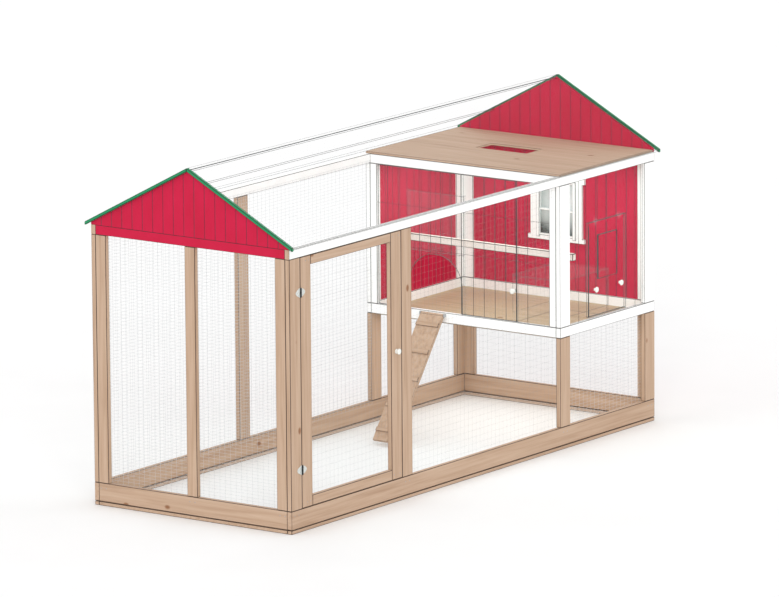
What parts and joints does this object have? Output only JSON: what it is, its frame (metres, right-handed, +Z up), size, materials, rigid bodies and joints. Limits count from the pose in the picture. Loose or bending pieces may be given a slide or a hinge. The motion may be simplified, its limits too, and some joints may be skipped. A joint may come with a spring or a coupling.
{
  "type": "chicken coop",
  "caption": "Barn-style poultry coop: a timber run with wire mesh walls and a hinged door, and a raised house with ramp, pop door, perch, sash window and top-hung egg door under one gable roof.",
  "frame": {"origin": "centre of the footprint, on the ground under the skids", "axes": "+X along the length, from the mesh end to the house end; +Y from the run door side to the far side; +Z up"},
  "size_m": [3.62, 1.434, 1.99],
  "materials": {
    "pine": "planed pine, clear oiled",
    "white_trim": "white paint",
    "red_siding": "red satin paint",
    "green_rake": "green satin paint",
    "wire": "galvanised",
    "hinge_steel": "pale enamel",
    "knob_white": "moulded, pale grey",
    "roof_strip": "clear extruded strip",
    "perch_wood": "sanded pale wood",
    "window_glass": "clear float glass",
    "roof_sheet": "clear sheet",
    "wall_sheet": "clear sheet",
    "house_door_sheet": "clear sheet",
    "pop_door_sheet": "clear sheet",
    "egg_door_sheet": "clear sheet",
    "nest_sheet": "clear sheet"
  },
  "bodies": {
    "coop": {"skids": "pine", "side_base_boards": "pine", "end_base_boards": "pine", "near_corner_stiles": "pine", "near_end_uprights": "pine", "latch_post": "pine", "back_mid_post": "pine", "house_legs": "pine", "far_low_stiles": "pine", "house_floor": "pine", "ceiling": "pine", "top_rails": "white_trim", "side_skirts": "white_trim", "end_skirts": "white_trim", "side_stiles": "white_trim", "cross_stiles": "white_trim", "cross_headers": "white_trim", "window_casing": "white_trim", "upper_sash_frame": "white_trim", "near_header": "red_siding", "back_siding": "red_siding", "far_siding": "red_siding", "near_gable": "red_siding", "far_gable": "red_siding", "rake_boards": "green_rake", "ground_mesh": "wire", "near_mesh": "wire", "front_mesh": "wire", "back_mesh": "wire", "low_mesh": "wire", "fixed_hinges": "hinge_steel", "ramp_hinge": "hinge_steel", "roof_strips": "roof_strip", "eave_trims": "roof_strip", "perch": "perch_wood", "upper_pane": "window_glass", "roof_front": "roof_sheet", "roof_back": "roof_sheet", "front_wall_panel": "wall_sheet", "near_wall_panel": "wall_sheet", "nest_box": "nest_sheet"},
    "run_door": {"run_door_hinge_stile": "pine", "run_door_latch_stile": "pine", "run_door_rails": "pine", "run_door_mesh": "wire", "run_hinge_moving": "hinge_steel"},
    "run_knob": {"run_latch": "knob_white"},
    "house_leaf": {"house_door": "house_door_sheet", "house_hinge_moving": "hinge_steel", "pop_tracks": "house_door_sheet"},
    "house_knob": {"house_latch": "knob_white"},
    "pop_slide": {"pop_door": "pop_door_sheet"},
    "ramp": {"ramp_board": "pine", "ramp_cleats": "pine"},
    "egg_hatch": {"egg_door": "egg_door_sheet", "egg_door_knobs": "knob_white", "egg_hinge_moving": "hinge_steel"},
    "lower_sash": {"lower_sash_frame": "white_trim", "lower_pane": "window_glass"}
  },
  "joints": [
    {"name": "run_door_hinge", "type": "hinge", "parent": "coop", "child": "run_door", "pos_m": [-1.69125, -0.69, 0.862], "axis": [0, 0, -1], "range_deg": [0, 110]},
    {"name": "run_latch_turn", "type": "hinge", "parent": "run_door", "child": "run_knob", "pos_m": [-0.791, -0.685, 0.862], "axis": [0, 1, 0], "range_deg": [0, 90]},
    {"name": "house_door_hinge", "type": "hinge", "parent": "coop", "child": "house_leaf", "pos_m": [0.818, 0.6075, 1.13], "axis": [0, 0, -1], "range_deg": [0, 90]},
    {"name": "house_latch_turn", "type": "hinge", "parent": "house_leaf", "child": "house_knob", "pos_m": [0.823, -0.36, 0.899], "axis": [1, 0, 0], "range_deg": [0, 90]},
    {"name": "pop_door_slide", "type": "slide", "parent": "house_leaf", "child": "pop_slide", "axis": [0, 0, -1], "range_m": [0, 0.342]},
    {"name": "ramp_hinge_turn", "type": "hinge", "parent": "coop", "child": "ramp", "pos_m": [0.811, 0.208, 0.7], "axis": [0, 1, 0], "range_deg": [0, 50]},
    {"name": "egg_door_hinge", "type": "hinge", "parent": "coop", "child": "egg_hatch", "pos_m": [1.308, -0.684, 1.282], "axis": [-1, 0, 0], "range_deg": [0, 100]},
    {"name": "window_slide", "type": "slide", "parent": "coop", "child": "lower_sash", "axis": [0, 0, 1], "range_m": [0, 0.16]}
  ]
}
